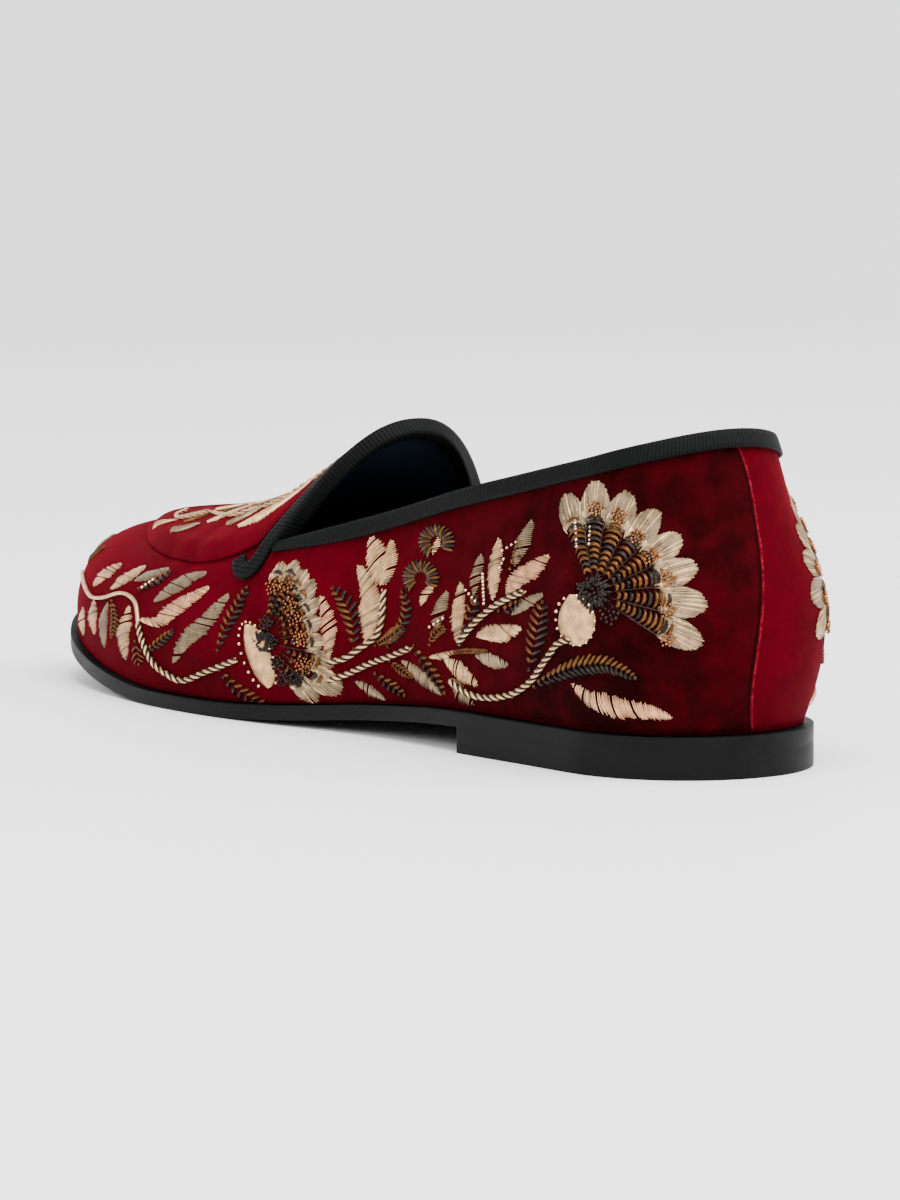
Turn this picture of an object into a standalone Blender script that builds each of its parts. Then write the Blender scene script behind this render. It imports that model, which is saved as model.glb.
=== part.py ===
"""Velvet slipper loafer, left shoe: outsole, heel, insole, hollow upper, apron and two ribbon bindings.

Units are metres. The toe points to -Y, the lateral side to +X and up is +Z. The floor is z = 0 and the
origin lies on it under the middle of the heel.
"""
import math
from collections import namedtuple

import bmesh
import bpy
import numpy as np

# Plan sizes of the outsole, measured from the heel's back
LENGTH = 0.290
BALL_WIDTH = 0.098
HEEL_WIDTH = 0.066
HEEL_ROUND = 0.034
HEEL_LENGTH = 0.079
LINE_SWING = 0.006
SOLE_MARGIN = 0.002

# Heights of the bottom
HEEL_HEIGHT = 0.0065
SOLE_THICKNESS = 0.0040
TOE_SPRING = 0.0155
SOLE_EDGE = 0.0006
INSOLE_THICKNESS = 0.002

# Heights of the closed arch over the last, above the outsole
INSTEP_HEIGHT = 0.096
TOE_HEIGHT = 0.028
BACK_ARCH = 0.089
BULGE = 0.0072
BULGE_HEIGHT = 0.026

# Topline and tongue
BACK_HEIGHT = 0.072
JUNCTION_HEIGHT = 0.040
JUNCTION_REACH = 0.158
TONGUE_REACH = 0.142

# Apron, laid over the vamp
APRON_REACH = 0.256
APRON_THICKNESS = 0.0010
APRON_CLEARANCE = 0.0004

# Ribbon bindings
RIBBON_THICKNESS = 0.0009
RIBBON_DEPTH = 0.0036
RIBBON_TUCK = 0.0024
EAR_WIDTH = 0.013
EAR_DROP = 0.0075
COLLAR_SETBACK = 0.006

# Wall and clearances
WALL = 0.002
GAP = 0.0003
INSOLE_CLEARANCE = 0.0008
TUCK_CLEARANCE = 0.0006

# Roundness of the superellipses: the toe and its cap in plan and profile, and the arch across the shoe
TOE_START = 0.70
TOE_FORWARD = 2.45
TOE_SIDEWAYS = 2.2
CAP_START = 0.82
CAP_FORWARD = 2.75
CAP_UPWARD = 2.3
ARCH_RISE = 2.55
ARCH_SPREAD = 2.5
TONGUE_CURVE = 1.5
SEAM_ROUND = 3.0
EAR_SWEEP = math.radians(150.0)

# Mesh steps
SIDE_STEPS = 10
HEEL_STEPS = 14
WALL_ROWS = 8
CROWN_STEPS = 14
TOE_STEPS = 21
TONGUE_EASE = 1.3
SOLE_STEPS = 20
SOLE_SLICE = LENGTH / 36.0
HEEL_SLICES = 13
APRON_ROWS = 15
APRON_COLUMNS = 11
EAR_STEPS = 7
BISECTIONS = 30
REACH_STEP = 0.002
TURN_STEP = 0.02

# Edges sharper than these are shaded sharp or bevelled
SLAB_ANGLE = math.radians(40.0)
SKIN_ANGLE = math.radians(50.0)
BEVEL_ANGLE = math.radians(60.0)

# Sections along the shoe. swing is a share of LINE_SWING, heel and ball of the two widths, instep and toe of
# the two arch heights, bulge of BULGE. share is the place along LENGTH.
Section = namedtuple("Section", "share swing heel ball instep toe bulge")
SECTIONS = (
    Section(0.00, 0.00, 1.00, 0.00, 1.00, 0.00, 1.00),
    Section(0.11, 0.10, 1.00, 0.00, 0.94, 0.00, 0.74),
    Section(0.25, 0.45, 1.00, 0.00, 0.94, 0.00, 0.36),
    Section(0.40, 0.80, 0.50, 0.32, 0.86, 0.00, 0.28),
    Section(0.53, 1.00, 0.10, 0.74, 0.66, 0.00, 0.34),
    Section(0.64, 0.65, 0.00, 0.94, 0.39, 0.46, 0.38),
    Section(0.74, 0.10, 0.00, 1.00, 0.24, 0.76, 0.36),
    Section(0.84, -0.22, 0.00, 1.01, 0.10, 0.98, 0.30),
    Section(0.92, -0.28, 0.00, 1.02, 0.02, 1.08, 0.22),
    Section(1.00, -0.30, 0.00, 1.02, 0.00, 1.03, 0.00),
)

# Underside of the outsole: shares of HEEL_HEIGHT and of TOE_SPRING. Both are nought where it stands flat.
Lift = namedtuple("Lift", "share heel toe")
LIFTS = (
    Lift(0.00, 1.00, 0.00),
    Lift(0.27, 1.00, 0.00),
    Lift(0.40, 0.66, 0.00),
    Lift(0.52, 0.18, 0.00),
    Lift(0.61, 0.00, 0.00),
    Lift(0.70, 0.00, 0.00),
    Lift(0.80, 0.00, 0.16),
    Lift(0.90, 0.00, 0.50),
    Lift(1.00, 0.00, 1.00),
)

# Topline from the heel's back to the junction: fall is the share of the drop between the two heights.
Topline = namedtuple("Topline", "share fall")
TOPLINE = (
    Topline(0.00, 0.00),
    Topline(0.08, 0.09),
    Topline(0.20, 0.21),
    Topline(0.45, 0.49),
    Topline(0.70, 0.75),
    Topline(0.87, 0.89),
    Topline(1.00, 1.00),
)

# Foot of the tongue's ribbon: steps up the arch from the junction, and the kind of section there, which is
# flat (0), folded (1) or tucked in (2)
RibbonFoot = namedtuple("RibbonFoot", "step kind")
RIBBON_FOOT = (
    RibbonFoot(0.0, 0),
    RibbonFoot(0.6, 0),
    RibbonFoot(1.0, 1),
    RibbonFoot(1.5, 1),
)

# Apron seam from the junction to where it crosses the vamp: spread is the share of the junction's angle.
Seam = namedtuple("Seam", "share spread")
SEAM = (
    Seam(0.00, 0.96),
    Seam(0.20, 0.96),
    Seam(0.45, 0.92),
    Seam(0.75, 0.84),
    Seam(1.00, 0.72),
)

Finish = namedtuple("Finish", "colour roughness metallic")
LEATHER = Finish((0.016, 0.016, 0.017, 1.0), 0.42, 0.0)
LINING = Finish((0.010, 0.011, 0.014, 1.0), 0.55, 0.0)
VELVET = Finish((0.250, 0.004, 0.012, 1.0), 0.85, 0.0)
RIBBON = Finish((0.012, 0.013, 0.014, 1.0), 0.60, 0.0)

# A column of the upper's wall: its foot, the reach to it from the middle, the way it bulges and its heights
Column = namedtuple("Column", "middle reach way ridge bulge floor")


class Track:
    """A smooth curve through one column of a table, which never swings past its rows."""

    def __init__(self, rows, field):
        self.shares = [row.share for row in rows]
        self.values = [getattr(row, field) for row in rows]
        steps = np.diff(self.shares)
        slopes = np.diff(self.values) / steps
        self.tangents = [slopes[0]]
        for before, after, step_before, step_after in zip(slopes, slopes[1:], steps, steps[1:]):
            if before * after <= 0.0:
                self.tangents.append(0.0)
                continue
            near = 2.0 * step_after + step_before
            far = step_after + 2.0 * step_before
            self.tangents.append((near + far) / (near / before + far / after))
        self.tangents.append(slopes[-1])

    def __call__(self, share):
        share = min(max(share, self.shares[0]), self.shares[-1])
        i = min(int(np.searchsorted(self.shares, share, side="right")) - 1, len(self.shares) - 2)
        step = self.shares[i + 1] - self.shares[i]
        t = (share - self.shares[i]) / step
        start = (1.0 + 2.0 * t) * (1.0 - t) ** 2 * self.values[i]
        end = t * t * (3.0 - 2.0 * t) * self.values[i + 1]
        bend = t * (1.0 - t) ** 2 * self.tangents[i] - t * t * (1.0 - t) * self.tangents[i + 1]
        return start + end + bend * step


SECTION_TRACKS = {field: Track(SECTIONS, field) for field in Section._fields[1:]}
LIFT_TRACKS = {field: Track(LIFTS, field) for field in Lift._fields[1:]}
TOPLINE_TRACK = Track(TOPLINE, "fall")
SEAM_TRACK = Track(SEAM, "spread")


def rounded_end(reach, start, tip, forward, sideways):
    """Share of the full size left at a place in a superellipse that closes at tip."""
    progress = min(max((reach - start) / (tip - start), 0.0), 1.0)
    return (1.0 - progress ** forward) ** (1.0 / sideways)


def along(reach):
    """Y of a place given by its distance from the outsole's back. The origin is mid-way along the heel."""
    return HEEL_LENGTH / 2.0 - reach


def centre(reach):
    """X of the middle line."""
    return LINE_SWING * SECTION_TRACKS["swing"](reach / LENGTH)


def half_width(reach, inset):
    """Half of the plan width, inset from the outsole's edge."""
    share = max(reach, HEEL_ROUND) / LENGTH
    heel = SECTION_TRACKS["heel"](share) * HEEL_WIDTH
    ball = SECTION_TRACKS["ball"](share) * BALL_WIDTH
    half = (heel + ball) / 2.0 - inset
    half *= rounded_end(reach, TOE_START * LENGTH, LENGTH - inset, TOE_FORWARD, TOE_SIDEWAYS)
    if reach < HEEL_ROUND:
        back = (HEEL_ROUND - reach) / (HEEL_ROUND - inset)
        half *= math.sqrt(max(1.0 - back * back, 0.0))
    return half


def lift(reach):
    """Height of the outsole's underside."""
    share = reach / LENGTH
    return HEEL_HEIGHT * LIFT_TRACKS["heel"](share) + TOE_SPRING * LIFT_TRACKS["toe"](share)


def ridge(reach):
    """Height of the closed arch over the outsole."""
    share = reach / LENGTH
    height = INSTEP_HEIGHT * SECTION_TRACKS["instep"](share) + TOE_HEIGHT * SECTION_TRACKS["toe"](share)
    return height * rounded_end(reach, CAP_START * LENGTH, LENGTH - SOLE_MARGIN, CAP_FORWARD, CAP_UPWARD)


def bulge(reach):
    """How far the wall bulges out low down."""
    return BULGE * SECTION_TRACKS["bulge"](reach / LENGTH)


def topline(reach):
    """Height of the collar's edge over the outsole."""
    return BACK_HEIGHT - (BACK_HEIGHT - JUNCTION_HEIGHT) * TOPLINE_TRACK(reach / JUNCTION_REACH)


def side_column(reach, side):
    """Column of the wall on the lateral side (side 1) or the medial side (side -1)."""
    middle = (centre(reach), along(reach))
    half = side * half_width(reach, SOLE_MARGIN)
    floor = lift(reach) + SOLE_THICKNESS + GAP
    return Column(middle, (half, 0.0), (side, 0.0), ridge(reach), bulge(reach), floor)


def heel_column(angle):
    """Column of the wall round the heel: angle 0 at the back, a right angle on the lateral side."""
    side = math.sin(angle)
    back = math.cos(angle)
    middle = (centre(HEEL_ROUND), along(HEEL_ROUND))
    reach = (side * half_width(HEEL_ROUND, SOLE_MARGIN), back * (HEEL_ROUND - SOLE_MARGIN))
    height = BACK_ARCH + (ridge(HEEL_ROUND) - BACK_ARCH) * side * side
    swell = bulge(0.0) + (bulge(HEEL_ROUND) - bulge(0.0)) * side * side
    return Column(middle, reach, (side, back), height, swell, lift(HEEL_ROUND) + SOLE_THICKNESS + GAP)


def wall(column, height):
    """Point of the upper's outer skin at a height over the outsole."""
    rise = min(height / column.ridge, 1.0) if column.ridge > 0.0 else 1.0
    spread = (1.0 - rise ** ARCH_RISE) ** (1.0 / ARCH_SPREAD)
    swell = column.bulge * math.sin(math.pi * min(height / (2.0 * BULGE_HEIGHT), 1.0))
    x = column.middle[0] + column.reach[0] * spread + column.way[0] * swell
    y = column.middle[1] + column.reach[1] * spread + column.way[1] * swell
    return np.array((x, y, column.floor + height))


def height_at(column, turn):
    """Height of a place on the arch: turn 0 at the outsole, 1 at the ridge."""
    return column.ridge * math.sin(turn * math.pi / 2.0) ** (2.0 / ARCH_RISE)


def turn_at(column, height):
    """Place on the arch of a height."""
    return math.asin(min(height / column.ridge, 1.0) ** (ARCH_RISE / 2.0)) / (math.pi / 2.0)


def vamp(reach, spread):
    """Point of the front's outer skin. spread runs from 1 at the lateral edge to -1 at the medial edge."""
    column = side_column(reach, 1 if spread >= 0.0 else -1)
    return wall(column, height_at(column, 1.0 - abs(spread)))


def unit(vector):
    """The vector at length one."""
    return vector / np.linalg.norm(vector)


def vamp_normal(reach, spread):
    """Outward normal of the front's outer skin."""
    ahead = vamp(reach + REACH_STEP, spread) - vamp(reach - REACH_STEP, spread)
    across = vamp(reach, spread + TURN_STEP) - vamp(reach, spread - TURN_STEP)
    return unit(np.cross(ahead, across))


JUNCTION_TURN = turn_at(side_column(JUNCTION_REACH, 1), JUNCTION_HEIGHT)


def arc_reach(base, crown, turn):
    """Reach along a cross line of the front, which bows back from its foot to its crown."""
    if turn <= JUNCTION_TURN:
        return base
    open_share = max(1.0 - turn, 0.0) / (1.0 - JUNCTION_TURN)
    return crown + (base - crown) * open_share ** TONGUE_CURVE


def eased(progress, slow_start=1.0):
    """Steps that close up towards the end, and with slow_start over one also near the beginning."""
    return math.sin(progress * math.pi / 2.0) ** slow_start


def new_object(name, mesh, finish, smooth_angle=SKIN_ANGLE):
    """Object of a mesh, with its own Principled material."""
    mesh.shade_smooth()
    mesh.set_sharp_from_angle(angle=smooth_angle)
    material = bpy.data.materials.new(name + "_finish")
    material.use_nodes = True
    shader = material.node_tree.nodes["Principled BSDF"]
    shader.inputs["Base Color"].default_value = finish.colour
    shader.inputs["Roughness"].default_value = finish.roughness
    shader.inputs["Metallic"].default_value = finish.metallic
    mesh.materials.append(material)
    piece = bpy.data.objects.new(name, mesh)
    bpy.context.scene.collection.objects.link(piece)
    return piece


def mesh_of(bm, name, face_outwards=True):
    """Mesh data of a bmesh, which is freed."""
    if face_outwards:
        bmesh.ops.recalc_face_normals(bm, faces=bm.faces)
    mesh = bpy.data.meshes.new(name)
    bm.to_mesh(mesh)
    bm.free()
    return mesh


def add_edge_bevel(piece):
    """Small rounded edge along the rims of a flat slab."""
    bevel = piece.modifiers.new("edge", "BEVEL")
    bevel.width = SOLE_EDGE
    bevel.segments = 2
    bevel.limit_method = "ANGLE"
    bevel.angle_limit = BEVEL_ANGLE


def slab(name, reaches, inset, low, high, finish):
    """Closed slab over the plan outline, between two heights that follow the reach."""
    bm = bmesh.new()
    rings = []
    for reach in reaches:
        half = half_width(reach, inset)
        sides = (1,) if half < GAP else (1, -1)
        corners = []
        for height in (low(reach), high(reach)):
            row = [bm.verts.new((centre(reach) + side * half, along(reach), height)) for side in sides]
            corners.append(row)
        rings.append(corners)
    for before, after in zip(rings, rings[1:]):
        for level in (0, 1):
            bm.faces.new(before[level] + after[level][::-1])
        for side in (0, -1):
            foot = (before[0][side], after[0][side], after[1][side], before[1][side])
            bm.faces.new(foot)
    for ring in (rings[0], rings[-1]):
        if len(ring[0]) == 2:
            bm.faces.new(ring[0] + ring[1][::-1])
    return new_object(name, mesh_of(bm, name), finish, SLAB_ANGLE)


def heel_reaches(inset, end):
    """Slices from the back of an outline to the heel's widest place and on to an end."""
    depth = HEEL_ROUND - inset
    turns = [math.pi / 2.0 * i / HEEL_SLICES for i in range(HEEL_SLICES + 1)]
    reaches = [inset + depth * (1.0 - math.cos(turn)) for turn in turns]
    steps = max(round((end - HEEL_ROUND) / SOLE_SLICE), 1)
    reaches += [HEEL_ROUND + (end - HEEL_ROUND) * (i + 1) / steps for i in range(steps)]
    return reaches


def whole_reaches(inset):
    """Slices over a whole outline, closed up round the heel and the toe."""
    reaches = heel_reaches(inset, TOE_START * LENGTH)
    rest = LENGTH - inset - reaches[-1]
    start = reaches[-1]
    reaches += [start + rest * eased((i + 1) / SOLE_STEPS) for i in range(SOLE_STEPS)]
    flat = [row.share * LENGTH for row in LIFTS if row.heel == 0.0 and row.toe == 0.0]
    extra = [place for place in flat if min(abs(place - reach) for reach in reaches) > GAP]
    return sorted(reaches + extra)


def make_outsole():
    """Leather outsole: flat under the heel and the ball, arched between, with a toe spring."""

    def high(reach):
        return lift(reach) + SOLE_THICKNESS

    piece = slab("outsole", whole_reaches(0.0), 0.0, lift, high, LEATHER)
    add_edge_bevel(piece)
    return piece


def make_heel():
    """Low heel with a straight breast, under the outsole."""

    def low(reach):
        return 0.0

    def high(reach):
        return lift(reach) - GAP

    piece = slab("heel", heel_reaches(0.0, HEEL_LENGTH), 0.0, low, high, LEATHER)
    add_edge_bevel(piece)
    return piece


def make_insole():
    """Insole that lies on the outsole inside the wall."""
    inset = SOLE_MARGIN + WALL + INSOLE_CLEARANCE

    def low(reach):
        return lift(reach) + SOLE_THICKNESS + GAP

    def high(reach):
        return low(reach) + INSOLE_THICKNESS

    return slab("insole", whole_reaches(inset), inset, low, high, LINING)


def upper_turns():
    """Places up the arch that the rows of the front share with the wall at the junction."""
    junction = side_column(JUNCTION_REACH, 1)
    turns = [turn_at(junction, JUNCTION_HEIGHT * row / WALL_ROWS) for row in range(WALL_ROWS)]
    turns += [JUNCTION_TURN + (1.0 - JUNCTION_TURN) * step / CROWN_STEPS for step in range(CROWN_STEPS + 1)]
    return turns


def front_arcs(bm):
    """Cross lines of the front, from the junctions and the tongue's edge to the toe."""
    turns = upper_turns()
    tip = LENGTH - SOLE_MARGIN
    arcs = []
    for step in range(TOE_STEPS):
        progress = eased(step / TOE_STEPS, TONGUE_EASE)
        base = JUNCTION_REACH + (tip - JUNCTION_REACH) * progress
        crown = TONGUE_REACH + (tip - TONGUE_REACH) * progress
        arc = []
        for side in (1, -1):
            points = []
            for turn in turns:
                column = side_column(arc_reach(base, crown, turn), side)
                points.append(wall(column, height_at(column, turn)))
            arc += points if side == 1 else points[-2::-1]
        arcs.append([bm.verts.new(point) for point in arc])
    return arcs


def quarter_columns():
    """Columns of the quarters between the two junctions, round the heel, with their topline heights."""
    span = JUNCTION_REACH - HEEL_ROUND
    side_reaches = [JUNCTION_REACH - span * step / SIDE_STEPS for step in range(1, SIDE_STEPS + 1)]
    columns = [(side_column(reach, 1), topline(reach)) for reach in side_reaches]
    for step in range(1, HEEL_STEPS):
        angle = math.pi / 2.0 - math.pi * step / HEEL_STEPS
        columns.append((heel_column(angle), topline(HEEL_ROUND * (1.0 - math.cos(angle)))))
    columns += [(side_column(reach, -1), topline(reach)) for reach in reversed(side_reaches)]
    return columns


def make_upper():
    """Velvet upper with its lining: one wall, open at the collar and underneath."""
    bm = bmesh.new()
    arcs = front_arcs(bm)
    toe = bm.verts.new(vamp(LENGTH - SOLE_MARGIN, 1.0))
    for near, far in zip(arcs, arcs[1:]):
        for i in range(len(near) - 1):
            bm.faces.new((near[i], near[i + 1], far[i + 1], far[i]))
    for first, second in zip(arcs[-1], arcs[-1][1:]):
        bm.faces.new((first, second, toe))
    grid = [arcs[0][: WALL_ROWS + 1]]
    for column, top in quarter_columns():
        grid.append([bm.verts.new(wall(column, top * row / WALL_ROWS)) for row in range(WALL_ROWS + 1)])
    grid.append(arcs[0][: -WALL_ROWS - 2 : -1])
    for near, far in zip(grid, grid[1:]):
        for i in range(WALL_ROWS):
            bm.faces.new((near[i], far[i], far[i + 1], near[i + 1]))
    piece = new_object("upper", mesh_of(bm, "upper", face_outwards=False), VELVET)
    shell = piece.modifiers.new("wall", "SOLIDIFY")
    shell.thickness = WALL
    shell.offset = -1.0
    shell.use_even_offset = True
    return piece


def tongue_inset(turn, distance):
    """Reach of a place set in from the tongue's edge by a distance along the skin."""
    edge = arc_reach(JUNCTION_REACH, TONGUE_REACH, turn)
    above = min(turn + TURN_STEP, 1.0)
    below = turn - TURN_STEP
    rise = vamp(arc_reach(JUNCTION_REACH, TONGUE_REACH, above), 1.0 - above)
    fall = vamp(arc_reach(JUNCTION_REACH, TONGUE_REACH, below), 1.0 - below)
    run = unit(rise - fall)
    ahead = unit(vamp(edge + WALL, 1.0 - turn) - vamp(edge, 1.0 - turn))
    lean = float(np.dot(run, ahead))
    return edge + distance / math.sqrt(1.0 - lean * lean)


def seam_spread(reach):
    """Spread of the apron's seam, which closes over the vamp at its front."""
    progress = min(max((reach - JUNCTION_REACH) / (APRON_REACH - JUNCTION_REACH), 0.0), 1.0)
    closing = (1.0 - progress ** SEAM_ROUND) ** (1.0 / SEAM_ROUND)
    return (1.0 - JUNCTION_TURN) * SEAM_TRACK(progress) * closing


def apron_row(progress):
    """Reach and spread of the places across one row of the apron, lateral to medial."""
    inset = RIBBON_DEPTH + GAP

    def reach_at(turn):
        start = tongue_inset(max(turn, JUNCTION_TURN), inset)
        return start + (APRON_REACH - start) * progress

    low = 0.0
    high = 1.0
    for _ in range(BISECTIONS):
        middle = (low + high) / 2.0
        if 1.0 - middle < seam_spread(reach_at(middle)):
            high = middle
        else:
            low = middle
    row = []
    for step in range(-APRON_COLUMNS, APRON_COLUMNS + 1):
        turn = 1.0 - (1.0 - high) * abs(step) / APRON_COLUMNS
        side = -1 if step > 0 else 1
        row.append((reach_at(turn), side * (1.0 - turn)))
    return row


def make_apron():
    """Apron over the tongue and vamp, up to its seam, cut from the upper's own skin."""
    bm = bmesh.new()
    skins = (APRON_CLEARANCE, APRON_CLEARANCE + APRON_THICKNESS)

    def pair(reach, spread):
        point = vamp(reach, spread)
        normal = vamp_normal(reach, spread)
        return [bm.verts.new(point + normal * out) for out in skins]

    rows = [[pair(*place) for place in apron_row(eased(step / APRON_ROWS))] for step in range(APRON_ROWS)]
    tip = pair(APRON_REACH, 0.0)
    for near, far in zip(rows, rows[1:]):
        for i in range(len(near) - 1):
            for level in (0, 1):
                bm.faces.new((near[i][level], near[i + 1][level], far[i + 1][level], far[i][level]))
    for first, second in zip(rows[-1], rows[-1][1:]):
        for level in (0, 1):
            bm.faces.new((first[level], second[level], tip[level]))
    for edge in (rows[0], [row[0] for row in rows] + [tip], [row[-1] for row in rows] + [tip]):
        for first, second in zip(edge, edge[1:]):
            bm.faces.new((first[0], second[0], second[1], first[1]))
    return new_object("apron", mesh_of(bm, "apron"), VELVET)


def ribbon_section(tuck, wrap):
    """Eight corners of a ribbon's section, as (in from the edge, out from the skin).

    With wrap it is folded round the edge, with an inner leg of length tuck. Without, it is a flat strip.
    """
    near = GAP
    outer = GAP + RIBBON_THICKNESS
    inner = -(WALL + TUCK_CLEARANCE)
    if wrap:
        lining = (
            (-outer, inner - RIBBON_THICKNESS),
            (tuck, inner - RIBBON_THICKNESS),
            (tuck, inner) if tuck > 0.0 else (tuck, inner - RIBBON_THICKNESS / 2.0),
            (-near, inner),
            (-near, near),
        )
    else:
        lining = tuple((-outer * share, near) for share in (1.0, 0.7, 0.5, 0.25, 0.0))
    return ((RIBBON_DEPTH, outer), (-outer, outer)) + lining + ((RIBBON_DEPTH, near),)


def sweep_ribbon(name, stations):
    """Closed ribbon through stations of (point, outward normal, inward way, section)."""
    bm = bmesh.new()
    rings = []
    for point, normal, inward, section in stations:
        rings.append([bm.verts.new(point + inward * into + normal * out) for into, out in section])
    for near, far in zip(rings, rings[1:]):
        for i in range(len(near)):
            bm.faces.new((near[i - 1], near[i], far[i], far[i - 1]))
    bm.faces.new(rings[0])
    bm.faces.new(rings[-1])
    return new_object(name, mesh_of(bm, name), RIBBON)


def ear_path():
    """Edge of the ear below the junction, from its front end to the junction, as (reach, height)."""
    path = []
    for step in range(EAR_STEPS):
        angle = EAR_SWEEP * (1.0 - step / EAR_STEPS)
        reach = JUNCTION_REACH + EAR_WIDTH * (1.0 - math.cos(angle)) / 2.0
        path.append((reach, JUNCTION_HEIGHT - EAR_DROP * math.sin(angle)))
    return path


def make_tongue_binding():
    """Ribbon round the tongue's edge. Below the junctions it lies flat on the quarters and hooks forward."""
    sections = (ribbon_section(0.0, False), ribbon_section(-GAP, True), ribbon_section(RIBBON_TUCK, True))
    tucked = len(sections) - 1
    places = []
    for reach, height in ear_path():
        places.append((reach, 1.0 - turn_at(side_column(reach, 1), height), 0))
    steps = list(RIBBON_FOOT) + [RibbonFoot(step, tucked) for step in range(2, CROWN_STEPS + 1)]
    for step, kind in steps:
        turn = JUNCTION_TURN + (1.0 - JUNCTION_TURN) * step / CROWN_STEPS
        places.append((arc_reach(JUNCTION_REACH, TONGUE_REACH, turn), 1.0 - turn, kind))
    places += [(reach, -spread, kind) for reach, spread, kind in reversed(places[:-1])]
    points = [vamp(reach, spread) for reach, spread, kind in places]
    stations = []
    for i, (reach, spread, kind) in enumerate(places):
        before = points[max(i - 1, 0)]
        after = points[min(i + 1, len(points) - 1)]
        normal = vamp_normal(reach, spread)
        inward = unit(np.cross(normal, unit(after - before)))
        stations.append((points[i], normal, inward, sections[kind]))
    return sweep_ribbon("tongue_binding", stations)


def make_collar_binding():
    """Ribbon folded over the topline from one junction round the heel to the other."""
    columns = quarter_columns()
    end = JUNCTION_REACH - COLLAR_SETBACK
    columns[0] = (side_column(end, 1), topline(end))
    columns[-1] = (side_column(end, -1), topline(end))
    points = [wall(column, top) for column, top in columns]
    section = ribbon_section(RIBBON_TUCK, True)
    stations = []
    for i, (column, top) in enumerate(columns):
        run = unit(points[min(i + 1, len(points) - 1)] - points[max(i - 1, 0)])
        rise = unit(points[i] - wall(column, top - RIBBON_DEPTH))
        normal = unit(np.cross(run, rise))
        inward = unit(np.cross(run, normal))
        stations.append((points[i], normal, inward, section))
    return sweep_ribbon("collar_binding", stations)


def main():
    """Clears the scene and models the shoe."""
    for piece in list(bpy.data.objects):
        bpy.data.objects.remove(piece, do_unlink=True)
    make_outsole()
    make_heel()
    make_insole()
    make_upper()
    make_apron()
    make_tongue_binding()
    make_collar_binding()


main()
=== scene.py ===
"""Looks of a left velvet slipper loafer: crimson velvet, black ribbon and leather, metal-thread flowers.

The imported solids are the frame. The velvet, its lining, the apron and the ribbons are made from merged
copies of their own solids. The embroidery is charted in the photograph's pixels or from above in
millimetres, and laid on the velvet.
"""

import math
import random
from collections import namedtuple

import bmesh
import bpy
import numpy as np
from mathutils import Matrix, Vector
from mathutils.bvhtree import BVHTree
from mathutils.kdtree import KDTree


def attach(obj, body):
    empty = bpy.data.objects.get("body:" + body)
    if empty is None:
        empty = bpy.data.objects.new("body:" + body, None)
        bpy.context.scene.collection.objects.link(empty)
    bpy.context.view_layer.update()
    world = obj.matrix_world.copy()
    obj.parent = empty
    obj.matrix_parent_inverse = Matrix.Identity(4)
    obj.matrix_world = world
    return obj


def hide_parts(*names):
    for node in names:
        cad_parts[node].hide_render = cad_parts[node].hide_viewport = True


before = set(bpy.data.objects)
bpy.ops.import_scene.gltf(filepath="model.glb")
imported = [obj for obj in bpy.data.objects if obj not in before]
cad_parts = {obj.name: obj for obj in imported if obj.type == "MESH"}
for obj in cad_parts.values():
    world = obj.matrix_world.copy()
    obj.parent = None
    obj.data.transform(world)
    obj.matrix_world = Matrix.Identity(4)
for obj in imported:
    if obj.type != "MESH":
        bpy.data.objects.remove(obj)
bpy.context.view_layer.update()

# The photograph's frame and the camera that the shoe's outlines fit
PHOTO_WIDTH = 900.0
PHOTO_HEIGHT = 1200.0
PHOTO_FOCAL = 5238.2
CAMERA_PLACE = Vector((0.92118, 1.26636, 0.21097))
CAMERA_TURN = (86.7205, -0.1997, 144.9641)
SENSOR = 36.0
VIEW_ZOOM = 1.22
VIEW_CENTRE = (361.0, 871.0)

MILLIMETRE = 0.001

# How the solids' meshes are merged, split into skins and smoothed
MERGE_REACH = 1e-5
PAIR_ANGLE = math.radians(35.0)
PAIR_SHAPE = math.radians(50.0)
WALL_CREASE = math.radians(50.0)
SHARP = math.radians(40.0)
SMOOTH_LEVELS = 2

# Sockets of the Mix node for colours
MIX_FACTOR = 0
MIX_FIRST = 6
MIX_SECOND = 7
MIX_RESULT = 2

# Stretches of the velvet along Y and Z, with painted shade towards the heel and towards the bottom, and the
# marks beside its back seam: painted sheen where the nap leans, the pinch, a painted highlight ridge and a
# painted shade groove, in metres
BACK_STRETCH = (0.004, 0.012)
HEEL_SHADE_STRETCH = (-0.100, -0.010)
LOW_SHADE_STRETCH = (0.045, 0.012)
NAP_SHEEN_BORDER = (0.0006, -0.0006)
PINCH_HALF = 0.0014
RIDGE_HIGHLIGHT_PLACE = -0.0005
GROOVE_SHADE_PLACE = 0.0004
LINE_HALF = 0.0005
RIB_PITCH = 0.00105


# Shader expressions
class Signal:
    """A socket in an expression. Operators add Math nodes."""

    def __init__(self, finish, socket):
        self.finish = finish
        self.socket = socket

    def math(self, operation, *others):
        """A Math node on this value and others."""
        return self.finish.add("ShaderNodeMath", {"operation": operation}, (self,) + others)

    def __add__(self, other):
        return self.math("ADD", other)

    def __sub__(self, other):
        return self.math("SUBTRACT", other)

    def __mul__(self, other):
        return self.math("MULTIPLY", other)

    def __truediv__(self, other):
        return self.math("DIVIDE", other)

    def __rsub__(self, other):
        return self.finish.add("ShaderNodeMath", {"operation": "SUBTRACT"}, (other, self))

    def clipped(self, low=0.0, high=1.0):
        """0 at low, 1 at high and straight between."""
        inputs = {"Value": self, "From Min": low, "From Max": high}
        return self.finish.add("ShaderNodeMapRange", {"clamp": True}, inputs, "Result")


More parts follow.
